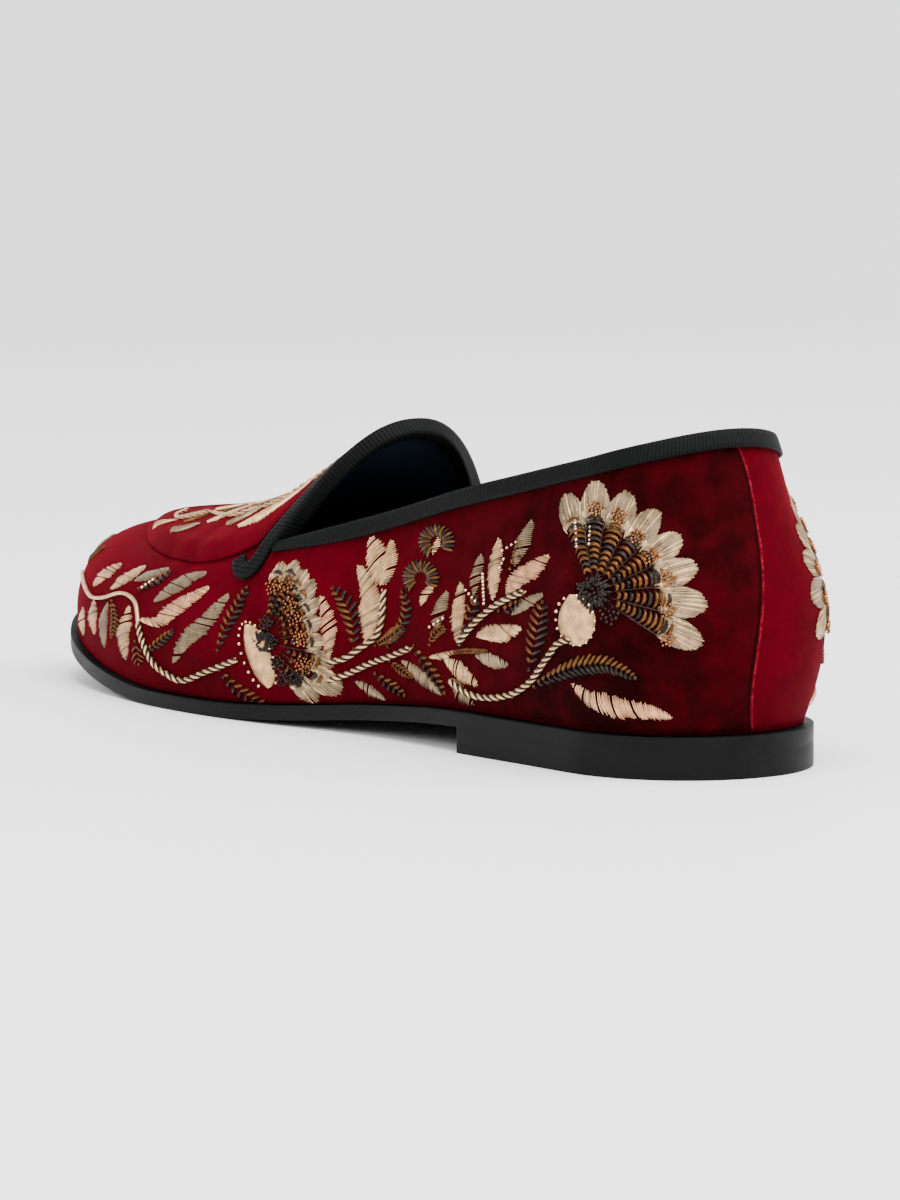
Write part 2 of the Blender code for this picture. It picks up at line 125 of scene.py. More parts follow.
class Finish:
    """A material under construction, with its Principled shader."""

    def __init__(self, name, **sockets):
        self.material = bpy.data.materials.new(name)
        self.material.use_nodes = True
        self.tree = self.material.node_tree
        self.shader = self.tree.nodes["Principled BSDF"]
        self.feed(**sockets)

    def add(self, kind, settings=None, inputs=(), output=0):
        """One node of a kind: its settings first, then its sockets, and the socket that it gives."""
        node = self.tree.nodes.new(kind)
        for key, value in (settings or {}).items():
            setattr(node, key, value)
        pairs = inputs.items() if isinstance(inputs, dict) else enumerate(inputs)
        for key, value in pairs:
            self.link(value, node.inputs[key])
        return Signal(self, node.outputs[output])

    def link(self, value, socket):
        """A value or a link into a socket."""
        if isinstance(value, Signal):
            self.tree.links.new(value.socket, socket)
        else:
            socket.default_value = value

    def feed(self, **sockets):
        """Values and links into the shader's own sockets."""
        for socket, value in sockets.items():
            self.link(value, self.shader.inputs[socket.replace("_", " ")])

    def place(self):
        """Object coordinates."""
        return self.add("ShaderNodeTexCoord", output="Object")

    def axis(self, letter):
        """One of the object coordinates, in metres."""
        return self.add("ShaderNodeSeparateXYZ", inputs=(self.place(),), output=letter)

    def noise(self, scale, detail=2.0, roughness=0.5, vector=None):
        """Fractal noise, its grain given per metre."""
        vector = vector or self.place()
        inputs = {"Vector": vector, "Scale": scale, "Detail": detail, "Roughness": roughness}
        return self.add("ShaderNodeTexNoise", inputs=inputs)

    def mix(self, factor, first, second):
        """Colour between two."""
        inputs = {MIX_FACTOR: factor, MIX_FIRST: first, MIX_SECOND: second}
        return self.add("ShaderNodeMix", {"data_type": "RGBA"}, inputs, MIX_RESULT)

    def bump(self, height, depth, strength):
        """Relief of a depth in metres into the shader's normal."""
        inputs = {"Height": height, "Distance": depth, "Strength": strength}
        self.feed(Normal=self.add("ShaderNodeBump", inputs=inputs))

    def attribute(self, name):
        """A number kept on the mesh."""
        return self.add("ShaderNodeAttribute", {"attribute_name": name}, output="Fac")


def rgb(red, green, blue):
    """Linear colour."""
    return (red, green, blue, 1.0)


def velvet_finish(seam):
    """Crimson pile: painted shade makes it deep at the heel and darker towards the bottom, painted sheen
    makes it a little lighter where it leans back, and along the back seam it is pinched, with a painted shade
    groove and a painted highlight ridge.
    """
    finish = Finish(
        "crimson_velvet", Specular_IOR_Level=0.02, Sheen_Weight=0.16, Sheen_Roughness=0.30,
        Sheen_Tint=rgb(0.90, 0.0, 0.05),
    )
    across, height = finish.axis("X"), finish.axis("Z")
    back = finish.axis("Y").clipped(*BACK_STRETCH)
    beside = across - (((height * seam[0] + seam[1]) * height + seam[2]) * height + seam[3])

    def line(place, half):
        """1 on a line beside the back seam, down to 0 at its half width."""
        return (1.0 - (beside - place).math("ABSOLUTE") / half).clipped() * back

    pinch = line(0.0, PINCH_HALF)
    # painted highlight on a line beside the back seam, and painted shade in its groove
    ridge_highlight = line(RIDGE_HIGHLIGHT_PLACE, LINE_HALF)
    groove_shade = line(GROOVE_SHADE_PLACE, LINE_HALF)
    # painted sheen: one side of the back seam, where the nap leans back, is painted lighter
    nap_sheen = beside.clipped(*NAP_SHEEN_BORDER) * back
    # painted shade: the velvet darkens towards the heel, less so where the painted nap sheen lies
    heel = finish.axis("Y").clipped(*HEEL_SHADE_STRETCH) * (1.0 - nap_sheen * 0.60)
    # painted shade: the velvet darkens towards the bottom
    low = height.clipped(*LOW_SHADE_STRETCH)
    brushed = finish.noise(26.0, 3.0, 0.55)
    streaks = finish.noise(150.0, 2.0, 0.6)
    tufts = finish.noise(700.0, 2.0, 0.7).clipped(0.35, 0.65)
    pile = finish.noise(2600.0, 2.0, 0.7)
    # mix factor: random brushed patches and streaks, with painted shade in the seam's groove, at the heel and
    # towards the bottom, and painted sheen where the nap leans back
    shade = brushed * 0.55 + streaks * 0.40 + nap_sheen * 0.05 - groove_shade * 0.6 - heel * 0.36 - low * 0.12 + 0.02
    colour = finish.mix(shade.clipped(), rgb(0.0080, 0.0, 0.0002), rgb(0.1250, 0.0003, 0.0066))
    # painted highlight: a lighter crimson along the ridge beside the back seam
    colour = finish.mix(ridge_highlight * tufts * 0.7, colour, rgb(0.330, 0.012, 0.030))
    finish.feed(Base_Color=colour, Roughness=0.92 - pile * 0.2)
    finish.bump(pile * 0.7 + streaks * 0.5 - pinch * pinch * 2.6, depth=0.00025, strength=0.6)
    return finish.material


def lining_finish():
    """Black smooth lining with a faint blue sheen."""
    finish = Finish("black_lining", Specular_IOR_Level=0.2, Coat_Weight=0.10, Coat_Roughness=0.25)
    cloud = finish.noise(45.0, 3.0, 0.5)
    grain = finish.noise(1500.0, 2.0, 0.6)
    finish.feed(
        Base_Color=finish.mix(cloud, rgb(0.003, 0.004, 0.007), rgb(0.016, 0.026, 0.046)),
        Roughness=cloud * 0.2 + 0.34,
    )
    finish.bump(grain + cloud * 2.0, depth=0.0001, strength=0.4)
    return finish.material


def ribbon_finish():
    """Black grosgrain: ribs across the ribbon, painted lighter on their crests as painted highlight and
    darker in the troughs between them as painted shade.
    """
    finish = Finish("black_grosgrain", Specular_IOR_Level=0.07)
    rib = (finish.attribute("along") * (2.0 * math.pi / RIB_PITCH)).math("SINE") * 0.5 + 0.5
    thread = finish.noise(3200.0, 2.0, 0.6)
    finish.feed(
        # painted shade in the rib troughs and painted highlight on the crests, with random thread tone
        Base_Color=finish.mix(rib * thread, rgb(0.0010, 0.0011, 0.0012), rgb(0.0056, 0.0060, 0.0064)),
        Roughness=0.70 - rib * 0.16,
    )
    finish.bump(rib + thread * 0.3, depth=0.00012, strength=0.6)
    return finish.material


def leather_finish(name, dark, pale, grain_scale):
    """Black leather edge, dyed and waxed, with fine grain."""
    finish = Finish(name, Specular_IOR_Level=0.07)
    grain = finish.noise(grain_scale, 3.0, 0.6)
    wear = finish.noise(60.0, 4.0, 0.6)
    drawn = finish.add("ShaderNodeMapping", inputs={"Vector": finish.place(), "Scale": (0.05, 0.05, 1.0)})
    layers = finish.noise(900.0, 1.0, 0.5, drawn)
    finish.feed(
        Base_Color=finish.mix(wear.clipped(0.35, 0.75), dark, pale),
        Roughness=wear * 0.25 + layers * 0.15 + 0.28,
    )
    finish.bump(grain * 0.5 + layers * 0.5, depth=0.00012, strength=0.5)
    return finish.material


def metal_finish(name, dark, bright, roughness, metallic):
    """Metal thread: bright wraps with darker, duller lengths, at random along it; the bright wraps are partly
    painted glints and the dark lengths partly painted shade.
    """
    finish = Finish(name, Metallic=metallic, Specular_IOR_Level=0.15)
    length = finish.noise(420.0, 2.0, 0.6)
    twist = finish.noise(3800.0, 1.0, 0.5)
    finish.feed(
        # partly painted light: the bright end stands in for glints and the dark end for shade, at random
        # along the thread
        Base_Color=finish.mix((length * 0.8 + twist * 0.5).clipped(0.35, 0.85), dark, bright),
        Roughness=twist * 0.25 + roughness,
    )
    finish.bump(twist, depth=0.00006, strength=0.6)
    return finish.material


# Pieces from the solids
VELVET_WALL = 0.0010
LINING_WALL = 0.0008
LEATHER_CREASE = 0.9
RIBBON_CREASE = 0.55
HEEL_CLOSING = 0.0006
FACES_UP = 0.3

# Soft border of the apron: where it starts and how it is pressed in and swells beside its seam, in metres
SEAM_START = -0.130
SEAM_FADE = 0.016
SEAM_PARTS = 4
VELVET_PRESS = (0.0007, 0.0020)
APRON_PRESS = (0.0012, 0.0026)
SWELL_HEIGHT = 0.0006
SWELL_PLACE = 0.0055
SWELL_WIDTH = 0.0028

# Flex folds over the vamp and hollows in the quarters: centre, direction across the fold, depth, width
# across it and reach from its centre, in metres
Fold = namedtuple("Fold", "centre across depth width reach")
FOLDS = (
    Fold((0.030, -0.150, 0.036), (0.25, 1.0, 0.35), 0.0007, 0.0040, 0.022),
    Fold((0.034, -0.165, 0.028), (0.20, 1.0, 0.30), 0.0006, 0.0045, 0.018),
    Fold((-0.030, -0.152, 0.036), (-0.25, 1.0, 0.35), 0.0007, 0.0040, 0.022),
    Fold((-0.034, -0.168, 0.028), (-0.20, 1.0, 0.30), 0.0006, 0.0045, 0.018),
    Fold((0.034, -0.040, 0.040), (0.0, 1.0, 0.25), 0.0008, 0.0110, 0.030),
    Fold((-0.034, -0.040, 0.040), (0.0, 1.0, 0.25), 0.0008, 0.0110, 0.030),
    Fold((0.034, -0.075, 0.034), (0.0, 1.0, -0.30), 0.0007, 0.0080, 0.026),
    Fold((-0.034, -0.070, 0.034), (0.0, 1.0, -0.30), 0.0007, 0.0080, 0.026),
)

# The collar ribbon's ends, drawn forward under the tongue ribbon, and the curves that its ribs follow
RIBBON_END = -0.1105
RIBBON_REACH = 0.0048
RIBBON_DROP = 0.27
RIBBON_TAPER = 0.45
HEEL_CENTRE = 0.005
HEEL_RADIUS = 0.028
TONGUE_AXIS = 0.036
TONGUE_RADIUS = 0.040


def merged_copy(node):
    """A bmesh of a solid's mesh with its doubles merged and its triangles paired."""
    bm = bmesh.new()
    bm.from_mesh(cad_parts[node].data)
    bmesh.ops.remove_doubles(bm, verts=bm.verts, dist=MERGE_REACH)
    bmesh.ops.join_triangles(
        bm, faces=bm.faces, angle_face_threshold=PAIR_ANGLE, angle_shape_threshold=PAIR_SHAPE
    )
    return bm


def is_sharp(edge):
    """Whether the surface has a corner at an edge."""
    return edge.calc_face_angle(0.0) > SHARP


def skin_from(bm, seed):
    """The faces reached from a seed without crossing the edge of the wall."""
    skin = {seed}
    front = [seed]
    while front:
        for edge in front.pop().edges:
            if len(edge.link_faces) == 2 and edge.calc_face_angle() < WALL_CREASE:
                fresh = [face for face in edge.link_faces if face not in skin]
                skin.update(fresh)
                front += fresh
    return skin


def piece_of(mesh, name, finish, replaced=()):
    """An object of a mesh, riding on the shoe."""
    mesh.materials.clear()
    mesh.materials.append(finish)
    mesh.shade_smooth()
    piece = bpy.data.objects.new(name, mesh)
    bpy.context.scene.collection.objects.link(piece)
    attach(piece, "root")
    if replaced:
        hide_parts(*replaced)
    return piece


def smooth_piece(bm, name, finish, replaced=()):
    """An object of a bmesh, riding on the shoe, with a subdivision surface."""
    mesh = bpy.data.meshes.new(name)
    bm.to_mesh(mesh)
    bm.free()
    piece = piece_of(mesh, name, finish, replaced)
    surface = piece.modifiers.new("smooth", "SUBSURF")
    surface.levels = SMOOTH_LEVELS
    surface.render_levels = SMOOTH_LEVELS
    return piece


def thickened(piece, thickness):
    """A wall on the inner side of a skin."""
    wall = piece.modifiers.new("wall", "SOLIDIFY")
    wall.thickness = thickness
    wall.offset = -1.0


def outer_skin(bm):
    """The faces on the outer side of the upper's wall, from its rearmost one."""
    return skin_from(bm, max(bm.faces, key=lambda face: face.calc_center_median().y))


def keep_faces(bm, kept):
    """Takes away all other faces."""
    bmesh.ops.delete(bm, geom=[face for face in bm.faces if face not in kept], context="FACES")


def make_velvet():
    """Outer skin of the upper."""
    bm = merged_copy("upper")
    keep_faces(bm, outer_skin(bm))
    return smooth_piece(bm, "upper_velvet", VELVET, ("upper",))


def make_lining():
    """Inner skin of the upper."""
    bm = merged_copy("upper")
    outer = outer_skin(bm)
    rest = [face for face in bm.faces if face not in outer and face.calc_area() > 0.0]
    keep_faces(bm, skin_from(bm, max(rest, key=lambda face: face.calc_area())))
    thickened(smooth_piece(bm, "upper_lining", LINING), LINING_WALL)


def settle(piece):
    """The mesh of a piece with its modifiers merged in."""
    graph = bpy.context.evaluated_depsgraph_get()
    mesh = bpy.data.meshes.new_from_object(piece.evaluated_get(graph))
    piece.modifiers.clear()
    piece.data = mesh
    return mesh


def fold_depth(place):
    """How far the folds press the velvet in at a place."""
    total = 0.0
    for fold in FOLDS:
        away = place - Vector(fold.centre)
        step = away.dot(Vector(fold.across).normalized())
        total += fold.depth * math.exp(-((step / fold.width) ** 2) - (away.length / fold.reach) ** 2)
    return total


def apron_border():
    """Places close together along the rim of the apron's solid."""
    bm = merged_copy("apron")
    rim = {vert for edge in bm.edges if is_sharp(edge) for vert in edge.verts}
    edges = [edge for edge in bm.edges if edge.verts[0] in rim and edge.verts[1] in rim]
    border = KDTree(len(edges) * SEAM_PARTS)
    for i, edge in enumerate(edges):
        for k in range(SEAM_PARTS):
            border.insert(edge.verts[0].co.lerp(edge.verts[1].co, k / SEAM_PARTS), i * SEAM_PARTS + k)
    border.balance()
    bm.free()
    return border


def press_seams(velvet, apron):
    """Soft folds in the velvet, and the apron's border rounded over and pinched along its seam."""
    border = apron_border()
    mesh = settle(velvet)
    faces = [tuple(face.vertices) for face in mesh.polygons]
    ground = BVHTree.FromPolygons([vert.co for vert in mesh.vertices], faces)
    for piece, (depth, reach) in ((velvet, VELVET_PRESS), (apron, APRON_PRESS)):
        mesh = piece.data if piece is velvet else settle(piece)
        for vert in mesh.vertices:
            normal = ground.find_nearest(vert.co)[1]
            gap = border.find(vert.co)[2]
            fade = min(max((SEAM_START - vert.co.y) / SEAM_FADE, 0.0), 1.0)
            sunk = depth * math.exp(-((gap / reach) ** 2))
            if piece is apron:
                sunk -= SWELL_HEIGHT * math.exp(-(((gap - SWELL_PLACE) / SWELL_WIDTH) ** 2))
            vert.co -= normal * (sunk * fade + fold_depth(vert.co))


def crease_edges(bm, weight):
    """Sharp edges hold their line under the subdivision surface."""
    crease = bm.edges.layers.float.new("crease_edge")
    for edge in bm.edges:
        if is_sharp(edge):
            edge[crease] = weight


def make_leather(node, name, finish, closing=0.0):
    """A leather part with its rim softened; its upper face is raised to close the seam over it."""
    bm = merged_copy(node)
    crease_edges(bm, LEATHER_CREASE)
    bm.normal_update()
    for vert in bm.verts:
        if vert.normal.z > FACES_UP:
            vert.co.z += closing
    smooth_piece(bm, name, finish, (node,))


def draw_ends_forward(bm):
    """The collar ribbon's ends reach under the tongue ribbon and narrow upwards."""
    ends = [vert for vert in bm.verts if vert.co.y < RIBBON_END]
    top = max(vert.co.z for vert in ends)
    for vert in ends:
        vert.co.z += (top - vert.co.z) * RIBBON_TAPER - RIBBON_REACH * RIBBON_DROP
        vert.co.y -= RIBBON_REACH


def make_ribbon(node, name, along):
    """A ribbon from its solid, with a number along it for its ribs."""
    bm = merged_copy(node)
    crease_edges(bm, RIBBON_CREASE)
    length = bm.verts.layers.float.new("along")
    for vert in bm.verts:
        vert[length] = along(vert.co)
    if node == "collar_binding":
        draw_ends_forward(bm)
    smooth_piece(bm, name, RIBBON, (node,))


def along_collar(place):
    """Length along the topline, from the middle of the heel."""
    if place.y < HEEL_CENTRE:
        return math.copysign(HEEL_CENTRE - place.y + HEEL_RADIUS * math.pi / 2.0, place.x)
    return math.atan2(place.x, place.y - HEEL_CENTRE) * HEEL_RADIUS


def along_tongue(place):
    """Length along the tongue's edge, from its crown."""
    return math.atan2(place.x, max(place.z - TONGUE_AXIS, MILLIMETRE)) * TONGUE_RADIUS


# The photograph's camera
def turned(degrees, axis):
    """Rotation about an axis."""
    return Matrix.Rotation(math.radians(degrees), 3, axis)


PHOTO_TURN = turned(CAMERA_TURN[2], "Z") @ (turned(CAMERA_TURN[1], "Y") @ turned(CAMERA_TURN[0], "X"))


def pixel_ray(column, row):
    """Direction from the camera through a pixel of the photograph."""
    across = (column - PHOTO_WIDTH / 2.0) / PHOTO_FOCAL
    upward = (PHOTO_HEIGHT / 2.0 - row) / PHOTO_FOCAL
    return (PHOTO_TURN @ Vector((across, upward, -1.0))).normalized()


# Embroidery. A stitch's path is in the photograph's pixels or in metres in space, with its radius and its
# height over the pile in millimetres. wind is the radius of a turn round the path, for a cord's strands.
Stitch = namedtuple("Stitch", "path radius lift wind phase", defaults=(0.0, 0.0))
Leaf = namedtuple("Leaf", "spine half thread", defaults=("bronze",))
FanPetal = namedtuple("FanPetal", "tip spread threads bullions")
Fan = namedtuple("Fan", "hub petals half start")
Oval = namedtuple("Oval", "centre long short")
Loop = namedtuple("Loop", "centre start end")
Patch = namedtuple("Patch", "centre reach count")

# Threads and cords, in millimetres
STITCH_PITCH = 0.52
STITCH_RADIUS = 0.27
CORD_PITCH = 5.2
CORD_STEP = 0.28
CORD_RADIUS = 0.44
STEM_RADIUS = 0.30
COUCHED_RADIUS = 0.6
COUCHED_STEP = 0.6

# Leaves: slants, fray and skipped stitches as shares, pitches and radii in millimetres
SATIN_SLANT = 0.6
SATIN_FRAY = 0.16
SATIN_SLIT = 0.07
HERRING = {"slant": 0.8, "pitch": 1.75, "radius": 0.60}
FEATHER = {"slant": 1.1, "pitch": 1.1, "radius": 0.42}

# Flowers and loops: pitches and reaches in the photograph's pixels, shares, counts and an angle
BULLION_PITCH = 4.1
BULLION_BEND = 3.2
BULLION_PAST = 0.04
OVAL_PITCH = 1.1
OVAL_SLANT = 0.2
LOOP_INNER = 5.0
LOOP_OUTER = 15.0
LOOP_STITCHES = 19
HUB_STITCHES = 46
GOLDEN_ANGLE = 2.39996

# Where rays start or aim, and the slices of the insole that give the shoe's middle, in metres
PLAN_HEIGHT = 0.15
VAMP = Vector((0.0, -0.1, 0.04))
SLICES = 40
SLICE_HALF = 0.006
SLICE_INSET = 0.004
CORE_HEIGHT = 0.02
SHORTEST = 1e-9

chance = random.Random(7)


class Skin:
    """The velvet's outer skin, as a place to lay stitches on."""

    def __init__(self, pieces):
        graph = bpy.context.evaluated_depsgraph_get()
        bm = bmesh.new()
        for piece in pieces:
            bm.from_mesh(piece.evaluated_get(graph).to_mesh())
        self.tree = BVHTree.FromBMesh(bm)
        bm.free()
        sole = np.array([vert.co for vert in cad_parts["insole"].data.vertices])
        self.places = np.linspace(sole[:, 1].min() + SLICE_INSET, sole[:, 1].max() - SLICE_INSET, SLICES)
        slices = [sole[np.abs(sole[:, 1] - place) < SLICE_HALF, 0] for place in self.places]
        self.middles = [(part.min() + part.max()) / 2.0 if len(part) else 0.0 for part in slices]

    def seen(self, column, row):
        """Point and outward normal under a pixel, or the nearest to its ray."""
        way = pixel_ray(column, row)
        point, normal = self.tree.ray_cast(CAMERA_PLACE, way)[:2]
        if point is None:
            reach = (VAMP - CAMERA_PLACE).dot(way)
            point, normal = self.tree.find_nearest(CAMERA_PLACE + way * reach)[:2]
        return point, -normal if normal.dot(way) > 0.0 else normal

    def near(self, place):
        """Nearest point and its outward normal."""
        point, normal = self.tree.find_nearest(Vector(place))[:2]
        return point, -normal if normal.z < 0.0 else normal

    def seat(self, place):
        """Point and outward normal for a place of a stitch."""
        return self.near(place) if len(place) == 3 else self.seen(*place)

    def below(self, chart):
        """Points on the upper side under places charted from above in millimetres."""
        down = Vector((0.0, 0.0, -1.0))
        starts = [Vector((x * MILLIMETRE, y * MILLIMETRE, PLAN_HEIGHT)) for x, y in chart]
        return [self.tree.ray_cast(start, down)[0] for start in starts]

    def path_length(self, spine):
        """Length on the skin, in millimetres, of a path given in pixels."""
        return length_of([self.seen(*place)[0] for place in curve_through(spine, 8)])

    def mirrored(self, point):
        """The same place on the medial side, with its normal."""
        middle = float(np.interp(point.y, self.places, self.middles))
        start = Vector((2.0 * middle - point.x, point.y, point.z))
        found, normal = self.tree.find_nearest(start)[:2]
        core = Vector((middle, min(found.y, 0.0), CORE_HEIGHT))
        return found, -normal if normal.dot(found - core) < 0.0 else normal


def back_seam(skin):
    """Where the seam at the back lies across the heel, as the factors of a cubic in its height."""
    places = [skin.seen(*place)[0] for place in BACK_SEAM]
    cubic = np.polyfit([place.z for place in places], [place.x for place in places], 3)
    return [float(factor) for factor in cubic]


def length_of(points):
    """Length in millimetres of a chain of points."""
    return sum((after - before).length for before, after in zip(points, points[1:])) / MILLIMETRE


def curve_through(points, count):
    """Evenly spaced places on a smooth curve through points."""
    points = np.array(points, float)
    padded = np.vstack((2.0 * points[0] - points[1], points, 2.0 * points[-1] - points[-2]))
    fine = []
    for i in range(len(points) - 1):
        before, start, end, after = padded[i : i + 4]
        for t in np.linspace(0.0, 1.0, 12, endpoint=i == len(points) - 2):
            bend = (end - before) * t + (2.0 * before - 5.0 * start + 4.0 * end - after) * t * t
            bend += (3.0 * start - before - 3.0 * end + after) * t ** 3
            fine.append(start + bend / 2.0)
    fine = np.array(fine)
    steps = np.concatenate(([0.0], np.cumsum(np.linalg.norm(np.diff(fine, axis=0), axis=1))))
    wanted = np.linspace(0.0, steps[-1], count)
    return np.stack([np.interp(wanted, steps, fine[:, axis]) for axis in range(points.shape[1])], -1)


def headings(path):
    """Unit directions along a path."""
    run = np.gradient(path, axis=0)
    return run / np.maximum(np.linalg.norm(run, axis=1), SHORTEST)[:, None]


def crossways(run):
    """Directions across those of a path in the picture."""
    return np.stack((-run[..., 1], run[..., 0]), -1)


def towards(angle):
    """Unit direction in the picture at an angle."""
    return np.array((math.cos(angle), math.sin(angle)))


def aim(start, end):
    """Unit direction from start to end in the picture, and how far that is."""
    way = np.array(end, float) - np.array(start, float)
    reach = np.linalg.norm(way)
    return way / reach, reach


def plain_stitch(start, end, radius=STITCH_RADIUS, pad=0.35, points=5):
    """Straight stitch that rises a little between its ends."""
    t = np.linspace(0.0, 1.0, points)
    path = np.array(start)[None] * (1.0 - t[:, None]) + np.array(end)[None] * t[:, None]
    hump = np.sin(t * math.pi)
    return Stitch(path, radius * (0.45 + 0.55 * np.sqrt(hump)), 0.12 + pad * hump)


def leaf_width(t):
    """Share of a leaf's width, pointed at its foot and at its tip."""
    foot = min(1.0, (t / 0.40) ** 0.6 if t > 0.0 else 0.0)
    return foot * max(1.0 - max(t - 0.50, 0.0) / 0.50, 0.0) ** 0.50


def slanted(place, across, run, near, far):
    """Ends of a satin stitch that crosses a leaf at a place, near and far from its spine."""
    start = place - across * near - run * SATIN_SLANT * near
    return start, place + across * far + run * SATIN_SLANT * far


def satin_leaf(skin, leaf):
    """Leaf of slanted satin stitches from edge to edge."""
    count = max(int(skin.path_length(leaf.spine) / STITCH_PITCH), 6)
    path = curve_through(leaf.spine, count)
    run = headings(path)
    across = crossways(run)
    stitches = []
    for i in range(count):
        if 1 < i < count - 2 and chance.random() < SATIN_SLIT:
            continue
        width = leaf.half * leaf_width(i / (count - 1)) + 0.4
        near = width * (1.0 + chance.uniform(-SATIN_FRAY, SATIN_FRAY))
        far = width * (1.0 + chance.uniform(-SATIN_FRAY, SATIN_FRAY))
        pad = 0.12 + 0.05 * width + chance.uniform(-0.08, 0.08)
        radius = STITCH_RADIUS * chance.uniform(0.8, 1.15)
        stitches.append(plain_stitch(*slanted(path[i], across[i], run[i], near, far), radius, pad))
    return stitches


def lying_leaf(skin, leaf):
    """Leaf of slanted satin stitches charted from above, with its half width in millimetres."""
    rough = skin.below(leaf.spine)
    count = max(int(length_of(rough) / STITCH_PITCH), 6)
    path = curve_through(rough, count)
    run = headings(path)
    stitches = []
    for i in range(count):
        across = np.cross(np.array(skin.near(path[i])[1]), run[i])
        width = (leaf.half * leaf_width(i / (count - 1)) + 0.15) * MILLIMETRE
        near = width * chance.uniform(0.85, 1.15)
        far = width * chance.uniform(0.85, 1.15)
        stitches.append(plain_stitch(*slanted(path[i], across, run[i], near, far), pad=0.3))
    return stitches


def feathered_leaf(skin, leaf, slant, pitch, radius):
    """Leaf of two rows of stitches that meet on a midrib and point forwards."""
    count = max(int(skin.path_length(leaf.spine) / pitch), 5)
    path = curve_through(leaf.spine, count)
    run = headings(path)
    across = crossways(run)
    rows = ([], [])
    for i in range(count):
        width = leaf.half * leaf_width(i / (count - 1)) + 0.5
        for side, row in zip((-1.0, 1.0), rows):
            reach = width * (1.0 + chance.uniform(-0.1, 0.12))
            end = path[i] + across[i] * side * reach + run[i] * slant * reach
            row.append(plain_stitch(path[i], end, radius, pad=0.25))
    return rows


def twisted(path, radius):
    """Two strands twisted round an evenly spaced path, and two thin ones in the hollows between them, laid in
    dark thread as painted shade.
    """
    count = len(path)
    turns = np.arange(count) * CORD_STEP / CORD_PITCH * 2.0 * math.pi
    ends = np.minimum(np.minimum(np.arange(count), np.arange(count)[::-1]) / 3.0, 1.0)
    lift = np.full(count, radius * 1.5)
    strands = [
        Stitch(path, radius * (0.4 + 0.6 * ends), lift, radius * 1.05, turns + phase)
        for phase in (0.0, math.pi)
    ]
    # thin strands in the hollows between the twists; laid in dark thread, they are painted shade
    shade_strands = [
        Stitch(path, 0.20 * ends + 0.03, lift, radius * 1.5, turns + phase)
        for phase in (math.pi / 2.0, math.pi * 1.5)
    ]
    return strands, shade_strands


def couched(skin, spine):
    """Plain couched cord."""
    count = int(skin.path_length(spine) / COUCHED_STEP)
    path = curve_through(spine, count)
    return Stitch(path, np.full(count, COUCHED_RADIUS), np.full(count, COUCHED_RADIUS * 0.8))


def loop_stitches(loop):
    """Open ring of thick stitches laid round a centre, angles in degrees from the right and upwards."""
    stitches = []
    for i in range(LOOP_STITCHES):
        angle = math.radians(loop.start + (loop.end - loop.start) * i / (LOOP_STITCHES - 1))
        near = loop.centre + LOOP_INNER * towards(-angle)
        far = loop.centre + LOOP_OUTER * towards(-angle - 0.25)
        stitches.append(plain_stitch(near, far, radius=0.62, pad=0.5))
    return stitches


def fringe(fan, petal):
    """Fringe petal: long and short threads that fan out from the hub to a ragged tip."""
    hub = np.array(fan.hub)
    way, reach = aim(hub, petal.tip)
    heading = math.atan2(way[1], way[0])
    stitches = []
    for i in range(petal.threads):
        side = 2.0 * i / (petal.threads - 1) - 1.0
        far = reach * (1.0 - 0.17 * abs(side) ** 2.0) + chance.uniform(-1.2, 1.0)
        near = petal.bullions * reach + chance.uniform(-1.5, 1.5)
        way = towards(heading + side * petal.spread)
        lean = towards(heading + side * petal.spread * 0.96)
        pad = chance.uniform(0.15, 0.5)
        stitches.append(plain_stitch(hub + way * near, hub + lean * far, 0.25, pad))
        middle = near + (far - near) * chance.uniform(0.3, 0.6)
        stitches.append(plain_stitch(hub + way * near * 0.97, hub + way * middle, 0.22, 0.55))
    return stitches


def hub_stitches(fan):
    """Short dark stitches that stand out from a flower's hub."""
    reach = fan.half * 2.2
    stitches = []
    for i in range(HUB_STITCHES):
        near = reach * chance.uniform(0.05, 0.45)
        far = near + reach * chance.uniform(0.35, 0.55)
        way = towards(i * GOLDEN_ANGLE)
        stitches.append(plain_stitch(fan.hub + way * near, fan.hub + way * far, radius=0.36, pad=0.8))
    return stitches


def bullion_row(fan, petal):
    """Column of curved bullion stitches stacked towards a petal's tip."""
    way, reach = aim(fan.hub, petal.tip)
    across = crossways(way)
    stretch = petal.bullions + BULLION_PAST - fan.start
    count = max(int(stretch * reach / BULLION_PITCH), 3)
    t = np.linspace(-1.0, 1.0, 5)
    hump = np.cos(t * math.pi / 2.0)
    stitches = []
    for i in range(count):
        share = i / (count - 1)
        place = fan.hub + way * reach * (fan.start + stretch * share)
        width = fan.half * (0.36 + 0.64 * share)
        path = place + across * width * t[:, None] + way * BULLION_BEND * (1.0 - t[:, None] ** 2)
        stitches.append(Stitch(path, 0.66 * (0.35 + 0.65 * hump), 0.25 + 0.45 * hump))
    return stitches


def petal_seam(fan, petal):
    """Dark thread beside a petal's bullions."""
    way = np.array(petal.tip) - fan.hub
    turn = petal.spread * 0.95
    side = way * math.cos(turn) + crossways(way) * math.sin(turn)
    end = fan.hub + side * (petal.bullions + 0.16)
    return plain_stitch(fan.hub + side * fan.start * 0.6, end, radius=0.2, pad=0.9, points=9)


